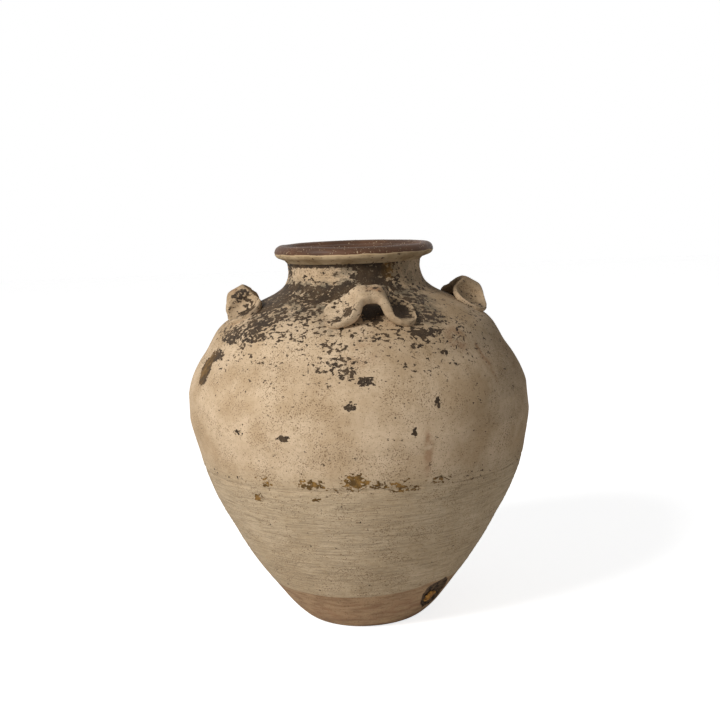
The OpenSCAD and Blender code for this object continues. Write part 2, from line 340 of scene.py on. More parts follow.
# Wear of the slip away from those places, as [height, wear]
BASE_WEAR = [
    [0, 0.08], [60, 0.1], [165, 0.1], [178, 0.26], [190, 0.14], [250, 0.1], [290, 0.24], [320, 0.36],
    [345, 0.36], [352, 0.4], [376, 0.3],
]
# A patch weighs PATCH_REACH less PATCH_FALL times the distance in half sizes, kept in 0 to 1
PATCH_REACH = 1.6
PATCH_FALL = 0.9


def painted(patches, az, z, base):
    """The strongest of the patches at each point, over a base value."""
    out = np.array(base, float)
    r = smooth(OUTLINE, z)
    for a, h, half_w, half_h, value in patches:
        across = ((az - a + 180) % 360 - 180) * np.pi / 180 * r / half_w
        d = np.sqrt(across**2 + ((z - h) / half_h) ** 2)
        w = np.clip(PATCH_REACH - d * PATCH_FALL, 0, 1)
        w = w * w * (3 - 2 * w)
        out = np.where(value > out, out + (value - out) * w, out)
    return out


def set_layers(mesh, layers):
    """Gives a mesh the point attributes that the slip material reads."""
    for name, values in layers.items():
        layer = mesh.attributes.new(name, "FLOAT", "POINT")
        layer.data.foreach_set("value", values.astype(np.float32))


def paint(mesh):
    """Paints a turned piece by direction and height: wear with painted shade under the lugs, stains, and
    the edges of slip and chip.
    """
    co = np.zeros(len(mesh.vertices) * 3)
    mesh.vertices.foreach_get("co", co)
    co = co.reshape(-1, 3) / MM
    az = np.degrees(np.arctan2(co[:, 0], -co[:, 1]))
    z = co[:, 2]
    none = np.zeros(len(z))
    set_layers(mesh, {
        "wear_and_shade": painted(WEAR_AND_SHADE, az, z, read(BASE_WEAR, z) + wobble(co, depth=0.05, width=40)),
        "smoke": painted(SMOKE, az, z, none),
        "amber": painted(AMBER, az, z, none),
        "rust": painted(RUST, az, z, none),
        "foot": slip_edge(co, az) - z,
        "chip": from_chip_edge(co, az, z),
    })


def linear(code):
    """An sRGB hex colour as linear RGBA."""
    c = [int(code[i:i + 2], 16) / 255 for i in (1, 3, 5)]
    return tuple(v / 12.92 if v <= 0.04045 else ((v + 0.055) / 1.055) ** 2.4 for v in c) + (1.0,)


PRINCIPLED = "ShaderNodeBsdfPrincipled"
OUTPUT = "ShaderNodeOutputMaterial"
COORDINATES = "ShaderNodeTexCoord"
MAPPING = "ShaderNodeMapping"
SEPARATE = "ShaderNodeSeparateXYZ"
ATTRIBUTE = "ShaderNodeAttribute"
LIGHT_PATH = "ShaderNodeLightPath"
NOISE = "ShaderNodeTexNoise"
BUMP = "ShaderNodeBump"
RANGE = "ShaderNodeMapRange"
MATH = "ShaderNodeMath"
MIX = "ShaderNodeMix"
SMOOTH = {"interpolation_type": "SMOOTHSTEP"}
STRAIGHT = {"interpolation_type": "LINEAR"}
PLUS = {"operation": "ADD"}
MINUS = {"operation": "SUBTRACT"}
TIMES = {"operation": "MULTIPLY"}
LARGER = {"operation": "MAXIMUM"}
COLOUR = {"data_type": "RGBA"}
WHITE = (1, 1, 1, 1)


def add(tree, kind, settings=None, out=0, **inputs):
    """Adds a node with its settings, and its inputs as values or as sockets to link.

    An input is named, with _ for a space, or numbered as i0, i1. Gives output out, or the node if None.
    """
    node = tree.nodes.new(kind)
    for key, value in (settings or {}).items():
        setattr(node, key, value)
    for key, value in inputs.items():
        socket = node.inputs[int(key[1:]) if key[1:].isdigit() else key.replace("_", " ")]
        if isinstance(value, bpy.types.NodeSocket):
            tree.links.new(value, socket)
        else:
            socket.default_value = value
    return node if out is None else node.outputs[out]


def new_material(name):
    """An empty material, its tree, and the Object coordinates that its patterns read."""
    material = bpy.data.materials.new(name)
    material.use_nodes = True
    tree = material.node_tree
    tree.nodes.clear()
    return material, tree, add(tree, COORDINATES, out="Object")


# How a pattern's lumps are squeezed in x, y and z: over 1 is narrower
ROUND = (1, 1, 1)
FLAT = (1, 1, 1.5)
RIM_FLAT = (1, 1, 1.6)
RIM_TURNED = (1, 1, 3)
TURNED = (1, 1, 5)
STREAKED = (1, 1, 14)
LINED = (1, 1, 16)
HAIR_FINE = (1, 1, 34)
UPRIGHT = (3, 3, 1)


def lumps(tree, place, squeeze, width, detail=3.0, rough=0.55):
    """Noise whose lumps are about width mm across, before they are squeezed."""
    squeezed = add(tree, MAPPING, Vector=place, Scale=squeeze)
    return add(tree, NOISE, Vector=squeezed, Scale=1 / (width * MM * 2), Detail=detail, Roughness=rough)


def blotches(tree, place, squeeze, width, detail, rough, start, full):
    """A mask of such lumps: 0 where the noise is under start, and 1 where it is over full."""
    pattern = lumps(tree, place, squeeze, width, detail, rough)
    return add(tree, RANGE, SMOOTH, Value=pattern, From_Min=start, From_Max=full)


def weighted(tree, a, share_a, b, share_b):
    """Two patterns added up, each times its share."""
    first = add(tree, MATH, TIMES, i0=a, i1=share_a)
    second = add(tree, MATH, TIMES, i0=b, i1=share_b)
    return add(tree, MATH, PLUS, i0=first, i1=second)


def layered(tree, base, layers):
    """Colours laid over a base in turn, each as (mask, its strength, sRGB hex or socket)."""
    for mask, strength, colour in layers:
        share = add(tree, MATH, TIMES, i0=mask, i1=strength)
        over = linear(colour) if isinstance(colour, str) else colour
        base = add(tree, MIX, COLOUR, 2, i0=share, i6=base, i7=over)
    return base


# Patterns as (squeeze, width of a lump in mm, detail, roughness, start, full)
SLIP_PATTERNS = {
    "clouds": (ROUND, 26, 4, 0.55, 0.35, 0.66),
    "streaks": (STREAKED, 12, 5, 0.7, 0.42, 0.62),
    "hairlines": (HAIR_FINE, 16, 4, 0.7, 0.55, 0.63),
    "mottle": (ROUND, 2.2, 4, 0.65, 0.42, 0.7),
    "film": (FLAT, 5, 5, 0.65, 0.38, 0.58),
    "stain": (ROUND, 6, 4, 0.55, 0.36, 0.6),
    "thin_glaze": (ROUND, 7, 4, 0.55, 0.35, 0.65),
    "gold": (ROUND, 3.5, 4, 0.55, 0.4, 0.62),
    "scratches": (UPRIGHT, 1.6, 3, 0.6, 0.6, 0.66),
    "clay": (TURNED, 9, 5, 0.55, 0.38, 0.64),
    "red": (FLAT, 8, 4, 0.55, 0.4, 0.6),
    "grit": (ROUND, 0.9, 2, 0.55, 0.6, 0.66),
    "broken": (ROUND, 2.4, 5, 0.7, 0.4, 0.62),
}
RIM_PATTERNS = {
    "tone": (RIM_TURNED, 16, 5, 0.6, 0.36, 0.64),
    "dark": (RIM_TURNED, 4, 5, 0.65, 0.52, 0.7),
    "specks": (ROUND, 1.0, 2, 0.5, 0.66, 0.7),
    "cream": (ROUND, 9, 4, 0.55, 0.4, 0.62),
    "cream_specks": (RIM_FLAT, 2.6, 3, 0.6, 0.63, 0.66),
}
OCHRE_TONE = (ROUND, 4, 4, 0.55, 0.38, 0.62)
OCHRE_PITS = (ROUND, 2, 4, 0.65, 0.54, 0.66)
CLAY_GRIT = (ROUND, 0.9, 2, 0.55, 0.6, 0.67)
# The comb's colour starts at the first of these heights and is full at the second, in metres
COMB_COLOUR = (0.200, 0.160)
# Heights in metres at which the brown of the rim gives way to a pale line and that to cream, and
# between which its sheen sets in
PALE_LINE = (0.3932, 0.3924)
CREAM_EDGE = (0.3924, 0.3915)
SHEEN_EDGE = (0.391, 0.393)
# How far those heights waver, in metres
RIM_WAVER = 0.0035


def make_slipped_stoneware(name, cream, glaze, foot):
    """Pale slip brushed over dark glaze and flaked off it with age: chalky, with sharp dark flecks."""
    material, tree, place = new_material(name)
    masks = {key: blotches(tree, place, *row) for key, row in SLIP_PATTERNS.items()}
    wear_and_shade, smoke, amber, rust, below_edge, chip = [
        add(tree, ATTRIBUTE, {"attribute_name": layer}, "Fac")
        for layer in ("wear_and_shade", "smoke", "amber", "rust", "foot", "chip")]

    # Slip: cream, in broad warm and grey clouds, with fine brown specks about 0.6 mm across
    height = add(tree, SEPARATE, out="Z", Vector=place)
    combed = add(tree, RANGE, SMOOTH, Value=height, From_Min=COMB_COLOUR[0], From_Max=COMB_COLOUR[1])
    zone = lumps(tree, place, FLAT, 16)
    cut = add(tree, RANGE, SMOOTH, Value=zone, From_Min=0.35, From_Max=0.65, To_Min=0.66, To_Max=0.575)
    over_cut = add(tree, MATH, MINUS, i0=lumps(tree, place, ROUND, 0.62, 2, 0.5), i1=cut)
    specks = add(tree, RANGE, SMOOTH, Value=over_cut, From_Min=0.0, From_Max=0.03)
    slip = layered(tree, cream, [
        (masks["clouds"], 1.0, "#b79c7b"),
        (combed, 0.55, "#bca98b"),
        (masks["streaks"], add(tree, MATH, TIMES, i0=combed, i1=0.42), "#8d7b63"),
        (masks["hairlines"], add(tree, MATH, TIMES, i0=combed, i1=0.55), "#75654f"),
        (specks, 0.75, "#6d5336"),
        (masks["mottle"], 0.28, "#9a7f5c"),
        (masks["film"], smoke, "#6a6150"),
        (masks["stain"], rust, "#8a5a33"),
    ])

    # Bare glaze: charcoal brown, or golden brown where it is thin
    gold = layered(tree, linear("#5a421f"), [(masks["gold"], 1.0, "#8f6a35")])
    bare = layered(tree, glaze, [
        (masks["thin_glaze"], 1.0, "#4d3c2a"),
        (amber, 1.0, gold),
        (masks["scratches"], 0.35, "#9a8a70"),
    ])

    # The slip comes off in ragged flakes 2 to 9 mm across, more of it where wear is high; under the lugs'
    # arches the same bare glaze is painted shade
    small = lumps(tree, place, FLAT, 2.3, 4, 0.6)
    large = lumps(tree, place, FLAT, 9, 2, 0.5)
    flake = weighted(tree, small, 0.8, large, 0.2)
    limit = add(tree, RANGE, STRAIGHT, Value=wear_and_shade, From_Min=0.0, From_Max=1.0, To_Min=0.69, To_Max=0.36)
    over_limit = add(tree, MATH, MINUS, i0=flake, i1=limit)
    slip_off_and_shade = add(tree, RANGE, SMOOTH, Value=over_limit, From_Min=-0.006, From_Max=0.012)

    # The foot was left bare: light brown clay with faint reddish patches
    clay = layered(tree, foot, [
        (masks["clay"], 1.0, "#947659"),
        (add(tree, MATH, TIMES, i0=rust, i1=masks["red"]), 0.6, "#93674c"),
        (masks["grit"], 0.5, "#5f4a35"),
    ])
    bare_foot = add(tree, RANGE, SMOOTH, Value=below_edge, From_Min=-0.4, From_Max=0.5)

    # Broken clay in the chip: dark and dirty, with paler lumps
    broken = layered(tree, linear("#2b1f16"), [(masks["broken"], 1.0, "#6d5842")])
    in_chip = add(tree, RANGE, SMOOTH, Value=chip, From_Min=-0.3, From_Max=0.3)
    colour = layered(tree, slip, [(slip_off_and_shade, 1.0, bare), (bare_foot, 1.0, clay), (in_chip, 1.0, broken)])

    # Bare glaze is a little smoother than slip
    sheen = add(tree, RANGE, SMOOTH, Value=slip_off_and_shade, From_Min=0.0, From_Max=1.0, To_Min=0.88, To_Max=0.7)
    rough = weighted(tree, sheen, 1.0, masks["mottle"], 0.06)

    # The slip is a third of a millimetre thick, and gritty. These heights are in mm.
    gritty = weighted(tree, slip_off_and_shade, -0.32, lumps(tree, place, ROUND, 1.2, 4, 0.65), 0.22)
    lined = weighted(tree, lumps(tree, place, LINED, 9, 4, 0.6), 0.3, specks, -0.12)
    relief = add(tree, MATH, PLUS, i0=gritty, i1=lined)
    bump = add(tree, BUMP, Strength=1.0, Distance=MM, Height=relief)
    shader = add(tree, PRINCIPLED, Base_Color=colour, Roughness=rough, Specular_IOR_Level=0.22, Normal=bump)
    add(tree, OUTPUT, out=None, Surface=shader)
    return material


def make_rim_glaze(name, brown):
    """Iron-brown glaze wiped on the rim: dull sheen, with light specks, and cream below its outer edge."""
    material, tree, place = new_material(name)
    masks = {key: blotches(tree, place, *row) for key, row in RIM_PATTERNS.items()}
    height = add(tree, SEPARATE, out="Z", Vector=place)
    level = weighted(tree, height, 1.0, lumps(tree, place, ROUND, 12), RIM_WAVER)
    pale = add(tree, RANGE, SMOOTH, Value=level, From_Min=PALE_LINE[0], From_Max=PALE_LINE[1])
    below = add(tree, RANGE, SMOOTH, Value=level, From_Min=CREAM_EDGE[0], From_Max=CREAM_EDGE[1])
    cream = layered(tree, linear("#b8a07e"), [
        (masks["cream"], 1.0, "#9c8463"),
        (masks["cream_specks"], 1.0, "#4a3222"),
    ])
    colour = layered(tree, brown, [
        (masks["tone"], 1.0, "#5f412d"),
        (masks["dark"], 0.6, "#3b281c"),
        (masks["specks"], 0.8, "#c2a888"),
        (pale, 1.0, "#c9ad86"),
        (below, 1.0, cream),
    ])
    sheen = add(tree, RANGE, SMOOTH, Value=level, From_Min=SHEEN_EDGE[0], From_Max=SHEEN_EDGE[1],
                To_Min=0.84, To_Max=0.5)
    rough = weighted(tree, sheen, 1.0, masks["dark"], 0.12)
    relief = weighted(tree, lumps(tree, place, RIM_TURNED, 2.5, 4, 0.6), 0.3, masks["specks"], 0.1)
    bump = add(tree, BUMP, Strength=0.8, Distance=MM, Height=relief)
    shader = add(tree, PRINCIPLED, Base_Color=colour, Roughness=rough, Specular_IOR_Level=0.2, Normal=bump)
    add(tree, OUTPUT, out=None, Surface=shader)
    return material


def make_clay(name, pale, dark, width):
    """Fired stoneware clay with no glaze, in clouds about width mm across: matt and sandy."""
    material, tree, place = new_material(name)
    clouds = blotches(tree, place, ROUND, width, 5, 0.6, 0.38, 0.64)
    grit = blotches(tree, place, *CLAY_GRIT)
    colour = layered(tree, linear(pale), [(clouds, 1.0, dark), (grit, 0.6, "#4f3d2c")])
    sandy = lumps(tree, place, ROUND, 3)
    rough = add(tree, RANGE, SMOOTH, Value=sandy, From_Min=0.3, From_Max=0.7, To_Min=0.8, To_Max=0.94)
    relief = lumps(tree, place, ROUND, 1.1, 4, 0.65)
    bump = add(tree, BUMP, Strength=0.8, Distance=0.5 * MM, Height=relief)
    shader = add(tree, PRINCIPLED, Base_Color=colour, Roughness=rough, Normal=bump)
    add(tree, OUTPUT, out=None, Surface=shader)
    return material


def make_ochre(name):
    """Ochre filler pressed into the chip: earthy yellow, crumbly, dark in its pits."""
    material, tree, place = new_material(name)
    tone = blotches(tree, place, *OCHRE_TONE)
    pits = blotches(tree, place, *OCHRE_PITS)
    colour = layered(tree, linear("#c8913f"), [(tone, 1.0, "#8f5f28"), (pits, 1.0, "#4a3018")])
    relief = lumps(tree, place, ROUND, 1.5, 4, 0.7)
    bump = add(tree, BUMP, Strength=1.0, Distance=0.8 * MM, Height=relief)
    shader = add(tree, PRINCIPLED, Base_Color=colour, Roughness=0.78, Normal=bump)
    add(tree, OUTPUT, out=None, Surface=shader)
    return material


SHARP_ANGLE = 50


def finish_piece(obj, node, material):
    """Gives a piece its material and lets it stand for its CAD node."""
    obj.data.materials.clear()
    obj.data.materials.append(material)
    obj.data.shade_smooth()
    obj.data.set_sharp_from_angle(angle=math.radians(SHARP_ANGLE))
    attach(obj, "root")
    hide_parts(node)


def link_new(name, data):
    obj = bpy.data.objects.new(name, data)
    bpy.context.scene.collection.objects.link(obj)
    return obj


def mesh_object(name, verts, faces):
    mesh = bpy.data.meshes.new(name)
    mesh.from_pydata((np.asarray(verts) * MM).tolist(), [], faces)
    mesh.validate()
    mesh.update()
    return link_new(name, mesh)


def revolve(name, section, segments, shaped):
    """Turns a section of (radius, height, outside) points. Points marked outside are shaped by the given
    function.
    """
    az = np.arange(segments) * 360.0 / segments - 180
    a = np.radians(az)
    rings, verts, faces = [], [], []
    for r, z, outside in section:
        if r == 0:
            rings.append([len(verts)])
            verts.append([0, 0, z])
            continue
        rr = np.full(segments, float(r))
        zz = np.full(segments, float(z))
        x0 = 0.0
        if outside:
            rr, zz, x0 = shaped(az, rr, zz)
        start = len(verts)
        verts.extend(np.stack([rr * np.sin(a) + x0, -rr * np.cos(a), zz], axis=1).tolist())
        rings.append(list(range(start, start + segments)))
    closed = len(rings[0]) > 1 and len(rings[-1]) > 1
    pairs = list(zip(rings, rings[1:])) + ([(rings[-1], rings[0])] if closed else [])
    for low, high in pairs:
        for i in range(segments):
            j = (i + 1) % segments
            if len(low) == 1:
                faces.append((low[0], high[j], high[i]))
            elif len(high) == 1:
                faces.append((low[i], low[j], high[0]))
            else:
                faces.append((low[i], low[j], high[j], high[i]))
    return mesh_object(name, verts, faces)


def wall_shape(az, r, z):
    """The outside of a wall: its surface marks, and the lean of the pot, kept within the belly."""
    lean = smooth(LEAN, z)
    limit = BELLY_R - np.abs(lean) - BOX_GAP
    return np.minimum(r + surface(az, z, r), limit), z, lean


def steps(z0, z1, pitch):
    n = max(1, math.ceil((z1 - z0) / pitch))
    return [z0 + (z1 - z0) * i / n for i in range(n + 1)]


def wall_section(ends, row, inside_row=INSIDE_ROW):
    """Outside from the lower end to the upper, then the plain inside back down."""
    outside = [(radius(z), z, True) for z in steps(*ends, row)]
    return outside + [inner_point(z) for z in reversed(steps(*ends, inside_row))]


# The rim's section in mm: its seat on the collar, the flare, the roll and the way down into the mouth
RIM_SEGMENTS = 420
SEAT_R = 64.0
FLARE_IN = 10.5
FLARE_UP = 3.5
FLARE_STEPS = 5
FLARE_CURVE = 1.3
ROLL_R = 7.0
ROLL_STEPS = 24
ROLL_FROM = -75
ROLL_TO = 152
MOUTH_STEPS = 9
MOUTH_CURVES = (0.6, 1.4)

# How the rim is out of true: drops in mm, which grow over RIM_SETTLE, and the swell of its outside
RIM_SETTLE = 8
RIM_DROP = 1.1
FRONT_DROP = 0.5
RIGHT_DROP = 0.4
WAVE_DROP = 0.25
WAVES = 3
WAVE_PHASE = 0.5
DIP_AZIMUTH = -10
DROP_RANGE = (0.6, 5)
SWELL_FROM_R = 66
SWELL_SHRINK = 0.35


def rim_shape(az, r, z):
    """The rim is a little out of true: its left side rides higher than its right, and it dips."""
    a = np.radians(az)
    share = rises(z, COLLAR_TOP, over=RIM_SETTLE)
    p = np.stack([r * np.sin(a), -r * np.cos(a), z], axis=1)
    tipped = RIM_DROP + FRONT_DROP * np.cos(a) + RIGHT_DROP * np.sin(a)
    drop = tipped + WAVE_DROP * np.sin(WAVES * a + WAVE_PHASE) + wobble(p, depth=0.3, width=26)
    drop += ridge(az - DIP_AZIMUTH, height=0.4, width=9)
    swell = wobble(p, depth=0.5, width=30) + wobble(p, depth=0.25, width=9)
    rr = r + (swell - SWELL_SHRINK) * rises(r, SWELL_FROM_R, over=10)
    lowered = z - np.clip(drop, *DROP_RANGE) * share
    return np.minimum(rr, RIM_R - BOX_GAP), lowered, smooth(LEAN, z) * (1 - share)


class JarSettings(bpy.types.PropertyGroup):
    ring_segments: bpy.props.IntProperty(
        name="Ring segments", description="Faces round the belly", default=540, min=60, max=600)
    row_pitch: bpy.props.FloatProperty(
        name="Row pitch", description="Height of a row of faces on the wall", default=0.0017, min=0.001,
        unit="LENGTH")
    cream: bpy.props.FloatVectorProperty(
        name="Slip", description="Colour of the pale slip", subtype="COLOR", size=4, min=0, max=1,
        default=linear("#cfb697"))
    glaze: bpy.props.FloatVectorProperty(
        name="Glaze", description="Colour of the bare glaze", subtype="COLOR", size=4, min=0, max=1,
        default=linear("#33271b"))
    foot: bpy.props.FloatVectorProperty(
        name="Foot", description="Colour of the bare clay of the foot", subtype="COLOR", size=4, min=0,
        max=1, default=linear("#ab8d6c"))
    rim: bpy.props.FloatVectorProperty(
        name="Rim", description="Colour of the glaze on the rim", subtype="COLOR", size=4, min=0, max=1,
        default=linear("#4c3425"))
    grains: bpy.props.IntProperty(
        name="Grains", description="Mineral grains standing in the rim glaze", default=260, min=0)
    grain_size: bpy.props.FloatProperty(
        name="Grain size", description="Diameter of a mineral grain", default=0.0009, unit="LENGTH")


def settings():
    return bpy.context.scene.jar_settings


MATERIALS = {}
# Clays as sRGB colours of their clouds, and the clouds' width in mm. The clay inside is greyish and
# dull, the grains on the rim are pale sand, and the grit in the chip is nearly black.
CLAYS = {
    "unglazed_inner_clay": ("#93806a", "#6f5d4a", 14),
    "pale_mineral_grain": ("#c9b391", "#8a7357", 2),
    "dark_chip_grit": ("#3a2a1c", "#8a7357", 2),
}


def material_for(name):
    """The named material, made once from the settings."""
    if name not in MATERIALS:
        s = settings()
        if name == "slip_over_dark_glaze":
            MATERIALS[name] = make_slipped_stoneware(name, tuple(s.cream), tuple(s.glaze), tuple(s.foot))
        elif name == "iron_brown_rim_glaze":
            MATERIALS[name] = make_rim_glaze(name, tuple(s.rim))
        elif name == "ochre_earth_filler":
            MATERIALS[name] = make_ochre(name)
        else:
            MATERIALS[name] = make_clay(name, *CLAYS[name])
    return MATERIALS[name]


class JAR_OT_walls(bpy.types.Operator):
    """Make the base, the three wall sections, the lutings and the collar"""
    bl_idname = "jar.walls"
    bl_label = "Walls"

    def execute(self, context):
        s = settings()
        row = s.row_pitch / MM
        turns = s.ring_segments
        upper = wall_section((BELLY_JOINT[1], SHOULDER_JOINT[0]), row)
        shoulder = wall_section((SHOULDER_JOINT[1], NECK_JOINT[0]), SHOULDER_ROW, SHOULDER_INSIDE_ROW)
        parts = [
            ("base_disc", self.base(), "bare_stoneware", turns),
            ("lower_wall", wall_section((BASE_T, BELLY_JOINT[0]), row), "slipped_stoneware", turns),
            ("belly_luting", wall_section(BELLY_JOINT, LUTING_ROW), "luting_slip", turns),
            ("upper_wall", upper, "slipped_stoneware", turns),
            ("shoulder_luting", wall_section(SHOULDER_JOINT, LUTING_ROW), "luting_slip", turns),
            ("shoulder_wall", shoulder, "slipped_stoneware", turns),
            ("neck_luting", wall_section(NECK_JOINT, LUTING_ROW), "luting_slip", turns // 2),
            ("neck_collar", self.collar(), "slipped_stoneware", turns),
        ]
        for node, section, slot_name, count in parts:
            piece = revolve(f"{node}_thrown", section, count, wall_shape)
            paint(piece.data)
            finish_piece(piece, node, material_for("slip_over_dark_glaze"))
        return {"FINISHED"}

    def base(self):
        """The base's section: underside, rounded edge, foot, and the floor back to the middle."""
        floor_edge = next(z for z in steps(0, BASE_T, FLOOR_SEARCH) if inner_point(z)[1] >= BASE_T)
        section = [(0, 0, False)] + [(r, 0.0, True) for r in UNDERSIDE_RINGS]
        for z in steps(0, BASE_T, FOOT_ROW):
            section.append((radius(z) - FOOT_ROUNDING * math.exp(-z / FOOT_ROUNDING), z, True))
        section += [inner_point(z) for z in reversed(steps(floor_edge, BASE_T, FLOOR_ROW))]
        return section + [(FLOOR_RING, BASE_T, False), (0, BASE_T, False)]

    def collar(self):
        """The collar's section: its outside, the straight throat, and the end on the neck joint."""
        low = NECK_JOINT[1]
        section = [(radius(z), z, True) for z in steps(low, COLLAR_TOP, COLLAR_ROW)]
        section += [(THROAT_R, z, False) for z in reversed(steps(THROAT_BOTTOM, COLLAR_TOP, THROAT_ROW))]
        return section + [inner_point(low)]


class JAR_OT_rim(bpy.types.Operator):
    """Make the flared and rolled rim"""
    bl_idname = "jar.rim"
    bl_label = "Rim"

    def execute(self, context):
        edge = radius(COLLAR_TOP)
        section = [(THROAT_R, COLLAR_TOP, False), (SEAT_R, COLLAR_TOP, False), (edge, COLLAR_TOP, True)]
        for i in range(1, FLARE_STEPS):
            t = i / FLARE_STEPS
            flared = edge + (RIM_R - FLARE_IN - edge) * t
            section.append((flared, COLLAR_TOP + FLARE_UP * t**FLARE_CURVE, True))
        for i in range(ROLL_STEPS + 1):
            a = math.radians(ROLL_FROM + (ROLL_TO - ROLL_FROM) * i / ROLL_STEPS)
            rolled = RIM_R - ROLL_R + ROLL_R * math.cos(a)
            section.append((rolled, JAR_H - ROLL_R + ROLL_R * math.sin(a), True))
        last_r, last_h, _ = section[-1]
        for i in range(1, MOUTH_STEPS):
            t = i / MOUTH_STEPS
            inward = last_r + (THROAT_R - last_r) * t**MOUTH_CURVES[0]
            section.append((inward, last_h + (COLLAR_TOP - last_h) * t**MOUTH_CURVES[1], True))
        piece = revolve("rim_roll_thrown", section, RIM_SEGMENTS, rim_shape)
        finish_piece(piece, "rim_roll", material_for("iron_brown_rim_glaze"))
        return {"FINISHED"}


# Each lug: its side, its turn in degrees from the front one, how high it stands and how worn it is
LUGS = (
    ("front", 0, 1.0, 1.0), ("right", 90, 0.82, 0.62), ("back", 180, 0.92, 0.8), ("left", 270, 0.86, 0.74),
)
# A lug's own frame: on the shoulder at this height, tipped with its slope, the front one at this azimuth
LUG_HEIGHT = 334.0
LUG_TILT = 29.7
LUG_AZIMUTH = 7.0
LUG_ALONG = 121
LUG_ROUND = 40
# Points of the middle line that are averaged to ease its bends
LUG_EASING = 7

# The middle line from the crown (0) to the end of a pad (1), as [share of the way, x, height, what the
# left half adds to the height], in mm
LUG_LINE = [
    [0, 0, 24.0, 0], [0.15, 7.5, 23.8, 0], [0.28, 12.6, 19.0, 1.0], [0.38, 15.0, 13.0, 2.8],
    [0.47, 17.5, 8.0, 3.6], [0.58, 22.5, 4.6, 3.6], [0.72, 30.0, 2.6, 2.2], [0.88, 39.0, 1.6, 0.8],
    [1.0, 45, 0.6, 0],
]
# Half of the strap's width up the slope, and its thickness over and under the middle line
LUG_HALF_WIDTH = [
    [0, 10.0], [0.15, 10.8], [0.28, 13.5], [0.38, 16.0], [0.5, 18.2], [0.65, 19.6], [0.8, 19.0],
    [0.9, 15.8], [0.96, 11.8], [1.0, 6.5],
]
LUG_UPPER = [[0, 5.2], [0.2, 6.0], [0.35, 6.6], [0.5, 4.4], [0.7, 2.8], [1.0, 2.0]]
LUG_UNDER = [[0, 8.0], [0.15, 7.4], [0.3, 5.4], [0.5, 6.0], [0.7, 7.0], [1.0, 6.0]]
# Depth of the thumb's hollow, and height of the lip at its sides
LUG_HOLLOW = [[0, 0], [0.22, 0.6], [0.38, 5.5], [0.52, 6.2], [0.68, 4.6], [0.88, 3.2], [1.0, 0.5]]
LUG_LIP = [[0, 0.0], [0.2, 1.0], [0.4, 3.4], [0.6, 4.6], [0.9, 4.4], [1.0, 2.4]]
LIP_SHARE = 0.9
LIP_POWER = 4
# Powers that square off the strap's section: across it, in its thickness, and in hollow and lip
ACROSS_POWER = 0.8
THICK_POWER = 0.6
HOLLOW_POWER = 0.5
# How far the strap sits up the slope, in mm: the arch more than the pads
UP_SLOPE = -1.0
ARCH_UP = 3.0
PAD_UP = 1.8
ARCH_SHARE = 0.4
# Each end bends down with the round of the shoulder, from this x and at this radius
BEND_FROM = 14
BEND_R = 190.0
# The left pad is thicker underneath, most of all here on the way from pad end to pad end
THICK_PAD_AT = -0.55
# Each lug reads its own part of the noise, in mm from the last one's, and a part further on for its sides
LUG_SHIFT = np.array([17.0, 5.0, 0])
SIDE_SHIFT = 40

# Worn places on a lug in its own frame, as [x, y, half width, half height, wear]
LUG_WEAR = [
    [30, 0, 11, 11, 1.0], [22, 6, 8, 8, 0.8], [-22, -3, 4, 9, 0.85], [-35, -10, 6, 6, 0.85],
    [-30, 12, 6, 6, 0.5], [3, 2, 8, 5, 0.5],
]
# The rusty crown, in the same terms
LUG_RUST = (4, 1, 9, 5, 0.6)
LUG_BASE_WEAR = 0.22
LUG_SMOKE = 0.15
# How far below the slip's edge a lug is, in mm: well above it, so that no foot clay shows
LUG_BELOW_EDGE = -100
# The underside of the arch, worn bare and painted dark as shade in the eye: below this height, and within
# this x
EYE_TOP = 1.5
EYE_HALF_WIDTH = 13


def tube_faces(rings, around):
    """Faces of a tube of rings of points, closed on two middle points that come after them."""
    faces = []
    last = (rings - 1) * around
    first_middle = rings * around
    for ring in range(rings - 1):
        low, high = ring * around, (ring + 1) * around
        for k in range(around):
            j = (k + 1) % around
            faces.append((low + k, high + k, high + j, low + j))
    for k in range(around):
        j = (k + 1) % around
        faces.append((first_middle, k, j))
        faces.append((first_middle + 1, last + j, last + k))
    return faces


def with_middles(points, around):
    """The points, and after them the middles of the first and the last ring."""
    return np.vstack([points, points[:around].mean(0), points[-around:].mean(0)])


def lug_line(t):
    """The middle line of the strap from pad end to pad end, t from -1 to 1, as (x, height)."""
    share, x, height, left = np.array(LUG_LINE).T
    h = np.interp(abs(t), share, height)
    if t < 0:
        h += np.interp(abs(t), share, left)
    return math.copysign(np.interp(abs(t), share, x), t), h


